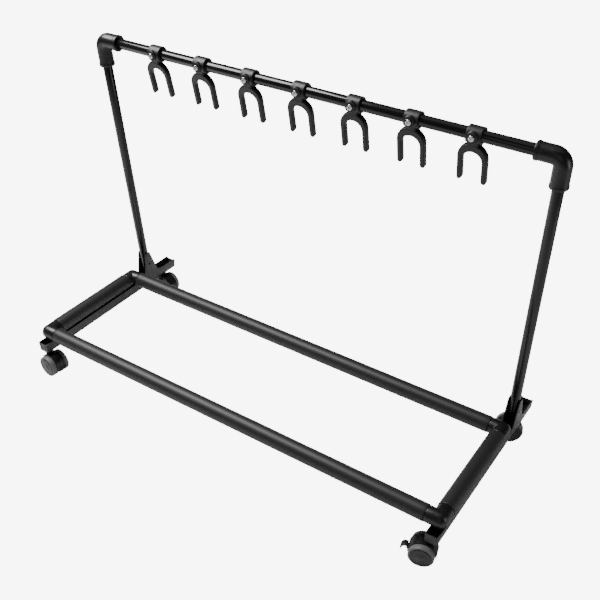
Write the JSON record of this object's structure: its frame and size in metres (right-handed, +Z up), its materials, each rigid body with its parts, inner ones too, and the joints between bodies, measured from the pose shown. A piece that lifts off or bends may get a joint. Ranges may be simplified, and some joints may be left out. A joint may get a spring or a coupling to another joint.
{
  "type": "guitar rack",
  "caption": "Rolling rack for several guitars: a foam-sleeved base loop on casters, two leaning uprights and a top bar with sliding neck yokes.",
  "frame": {"origin": "on the floor under the middle of the rack's bounding box", "axes": "+X along the top bar, +Y from the open front to the uprights, +Z up"},
  "size_m": [1.0902, 0.5067, 0.7454],
  "materials": {
    "black_paint": "gloss",
    "foot_paint": "satin",
    "black_foam": "matte",
    "black_plastic": "satin",
    "dark_bolt": "satin",
    "yoke_rubber": "satin",
    "liner_plastic": "matte",
    "bright_screw": "polished",
    "wheel_rubber": "satin"
  },
  "bodies": {
    "frame": {"top_bar": "black_paint", "upright_left": "black_paint", "upright_right": "black_paint", "front_rail_tube": "black_paint", "rear_rail_tube": "black_paint", "left_side_tube": "black_paint", "right_side_tube": "black_paint", "foot_left": "foot_paint", "foot_right": "foot_paint", "front_rail_foam": "black_foam", "rear_rail_foam": "black_foam", "left_side_foam": "black_foam", "right_side_foam": "black_foam", "top_elbow_left": "black_plastic", "top_elbow_right": "black_plastic", "front_left_elbow": "black_plastic", "front_right_elbow": "black_plastic", "rear_left_elbow": "black_plastic", "rear_right_elbow": "black_plastic", "upright_pin_left": "dark_bolt", "upright_pin_right": "dark_bolt", "left_foot_bolt_1": "dark_bolt", "left_foot_bolt_2": "dark_bolt", "right_foot_bolt_1": "dark_bolt", "right_foot_bolt_2": "dark_bolt"},
    "hanger_1_slider": {"hanger_1_liner": "liner_plastic"},
    "hanger_1": {"hanger_1_yoke": "yoke_rubber", "hanger_1_screw": "bright_screw"},
    "hanger_2_slider": {"hanger_2_liner": "liner_plastic"},
    "hanger_2": {"hanger_2_yoke": "yoke_rubber", "hanger_2_screw": "bright_screw"},
    "hanger_3_slider": {"hanger_3_liner": "liner_plastic"},
    "hanger_3": {"hanger_3_yoke": "yoke_rubber", "hanger_3_screw": "bright_screw"},
    "hanger_4_slider": {"hanger_4_liner": "liner_plastic"},
    "hanger_4": {"hanger_4_yoke": "yoke_rubber", "hanger_4_screw": "bright_screw"},
    "hanger_5_slider": {"hanger_5_liner": "liner_plastic"},
    "hanger_5": {"hanger_5_yoke": "yoke_rubber", "hanger_5_screw": "bright_screw"},
    "hanger_6_slider": {"hanger_6_liner": "liner_plastic"},
    "hanger_6": {"hanger_6_yoke": "yoke_rubber", "hanger_6_screw": "bright_screw"},
    "hanger_7_slider": {"hanger_7_liner": "liner_plastic"},
    "hanger_7": {"hanger_7_yoke": "yoke_rubber", "hanger_7_screw": "bright_screw"},
    "caster_front_left": {"caster_front_left_hood": "black_plastic"},
    "caster_front_left_wheel_a": {"caster_front_left_wheel_a": "wheel_rubber"},
    "caster_front_left_wheel_b": {"caster_front_left_wheel_b": "wheel_rubber"},
    "caster_front_right": {"caster_front_right_hood": "black_plastic"},
    "caster_front_right_wheel_a": {"caster_front_right_wheel_a": "wheel_rubber"},
    "caster_front_right_wheel_b": {"caster_front_right_wheel_b": "wheel_rubber"},
    "caster_front_right_brake": {"caster_front_right_brake": "black_plastic"},
    "caster_rear_left": {"caster_rear_left_hood": "black_plastic"},
    "caster_rear_left_wheel_a": {"caster_rear_left_wheel_a": "wheel_rubber"},
    "caster_rear_left_wheel_b": {"caster_rear_left_wheel_b": "wheel_rubber"},
    "caster_rear_right": {"caster_rear_right_hood": "black_plastic"},
    "caster_rear_right_wheel_a": {"caster_rear_right_wheel_a": "wheel_rubber"},
    "caster_rear_right_wheel_b": {"caster_rear_right_wheel_b": "wheel_rubber"},
    "caster_rear_right_brake": {"caster_rear_right_brake": "black_plastic"}
  },
  "joints": [
    {"name": "hanger_1_slide", "type": "slide", "parent": "frame", "child": "hanger_1_slider", "axis": [1, 0, 0], "range_m": [-0.025, 0.025]},
    {"name": "hanger_1_turn", "type": "hinge", "parent": "hanger_1_slider", "child": "hanger_1", "pos_m": [-0.366, 0.0972, 0.7275], "axis": [-1, 0, 0], "range_deg": [-30, 120]},
    {"name": "hanger_2_slide", "type": "slide", "parent": "frame", "child": "hanger_2_slider", "axis": [1, 0, 0], "range_m": [-0.025, 0.025]},
    {"name": "hanger_2_turn", "type": "hinge", "parent": "hanger_2_slider", "child": "hanger_2", "pos_m": [-0.244, 0.0972, 0.7275], "axis": [-1, 0, 0], "range_deg": [-30, 120]},
    {"name": "hanger_3_slide", "type": "slide", "parent": "frame", "child": "hanger_3_slider", "axis": [1, 0, 0], "range_m": [-0.025, 0.025]},
    {"name": "hanger_3_turn", "type": "hinge", "parent": "hanger_3_slider", "child": "hanger_3", "pos_m": [-0.122, 0.0972, 0.7275], "axis": [-1, 0, 0], "range_deg": [-30, 120]},
    {"name": "hanger_4_slide", "type": "slide", "parent": "frame", "child": "hanger_4_slider", "axis": [1, 0, 0], "range_m": [-0.025, 0.025]},
    {"name": "hanger_4_turn", "type": "hinge", "parent": "hanger_4_slider", "child": "hanger_4", "pos_m": [0, 0.0972, 0.7275], "axis": [-1, 0, 0], "range_deg": [-30, 120]},
    {"name": "hanger_5_slide", "type": "slide", "parent": "frame", "child": "hanger_5_slider", "axis": [1, 0, 0], "range_m": [-0.025, 0.025]},
    {"name": "hanger_5_turn", "type": "hinge", "parent": "hanger_5_slider", "child": "hanger_5", "pos_m": [0.122, 0.0972, 0.7275], "axis": [-1, 0, 0], "range_deg": [-30, 120]},
    {"name": "hanger_6_slide", "type": "slide", "parent": "frame", "child": "hanger_6_slider", "axis": [1, 0, 0], "range_m": [-0.025, 0.025]},
    {"name": "hanger_6_turn", "type": "hinge", "parent": "hanger_6_slider", "child": "hanger_6", "pos_m": [0.244, 0.0972, 0.7275], "axis": [-1, 0, 0], "range_deg": [-30, 120]},
    {"name": "hanger_7_slide", "type": "slide", "parent": "frame", "child": "hanger_7_slider", "axis": [1, 0, 0], "range_m": [-0.025, 0.025]},
    {"name": "hanger_7_turn", "type": "hinge", "parent": "hanger_7_slider", "child": "hanger_7", "pos_m": [0.366, 0.0972, 0.7275], "axis": [-1, 0, 0], "range_deg": [-30, 120]},
    {"name": "caster_front_left_swivel", "type": "hinge", "parent": "frame", "child": "caster_front_left", "pos_m": [-0.525, -0.2183, 0.06], "axis": [0, 0, 1], "continuous": true},
    {"name": "caster_front_left_roll_a", "type": "hinge", "parent": "caster_front_left", "child": "caster_front_left_wheel_a", "pos_m": [-0.51071, -0.23539, 0.0265], "axis": [0.1045, 0.9945, 0], "continuous": true},
    {"name": "caster_front_left_roll_b", "type": "hinge", "parent": "caster_front_left", "child": "caster_front_left_wheel_b", "pos_m": [-0.50747, -0.20456, 0.0265], "axis": [0.1045, 0.9945, 0], "continuous": true},
    {"name": "caster_front_right_swivel", "type": "hinge", "parent": "frame", "child": "caster_front_right", "pos_m": [0.525, -0.2183, 0.06], "axis": [0, 0, 1], "continuous": true},
    {"name": "caster_front_right_roll_a", "type": "hinge", "parent": "caster_front_right", "child": "caster_front_right_wheel_a", "pos_m": [0.50563, -0.2073, 0.0265], "axis": [0.2504, -0.9681, 0], "continuous": true},
    {"name": "caster_front_right_roll_b", "type": "hinge", "parent": "caster_front_right", "child": "caster_front_right_wheel_b", "pos_m": [0.51339, -0.23731, 0.0265], "axis": [0.2504, -0.9681, 0], "continuous": true},
    {"name": "caster_front_right_brake_press", "type": "hinge", "parent": "caster_front_right", "child": "caster_front_right_brake", "pos_m": [0.48066, -0.22977, 0.0275], "axis": [0.2504, -0.9681, 0], "range_deg": [0, 12]},
    {"name": "caster_rear_left_swivel", "type": "hinge", "parent": "frame", "child": "caster_rear_left", "pos_m": [-0.525, 0.2112, 0.06], "axis": [0, 0, 1], "continuous": true},
    {"name": "caster_rear_left_roll_a", "type": "hinge", "parent": "caster_rear_left", "child": "caster_rear_left_wheel_a", "pos_m": [-0.51071, 0.19411, 0.0265], "axis": [0.1045, 0.9945, 0], "continuous": true},
    {"name": "caster_rear_left_roll_b", "type": "hinge", "parent": "caster_rear_left", "child": "caster_rear_left_wheel_b", "pos_m": [-0.50747, 0.22494, 0.0265], "axis": [0.1045, 0.9945, 0], "continuous": true},
    {"name": "caster_rear_right_swivel", "type": "hinge", "parent": "frame", "child": "caster_rear_right", "pos_m": [0.525, 0.2112, 0.06], "axis": [0, 0, 1], "continuous": true},
    {"name": "caster_rear_right_roll_a", "type": "hinge", "parent": "caster_rear_right", "child": "caster_rear_right_wheel_a", "pos_m": [0.503, 0.21472, 0.0265], "axis": [0.5736, -0.8192, 0], "continuous": true},
    {"name": "caster_rear_right_roll_b", "type": "hinge", "parent": "caster_rear_right", "child": "caster_rear_right_wheel_b", "pos_m": [0.52078, 0.18933, 0.0265], "axis": [0.5736, -0.8192, 0], "continuous": true},
    {"name": "caster_rear_right_brake_press", "type": "hinge", "parent": "caster_rear_right", "child": "caster_rear_right_brake", "pos_m": [0.48748, 0.18493, 0.0275], "axis": [0.5736, -0.8192, 0], "range_deg": [0, 12]}
  ]
}
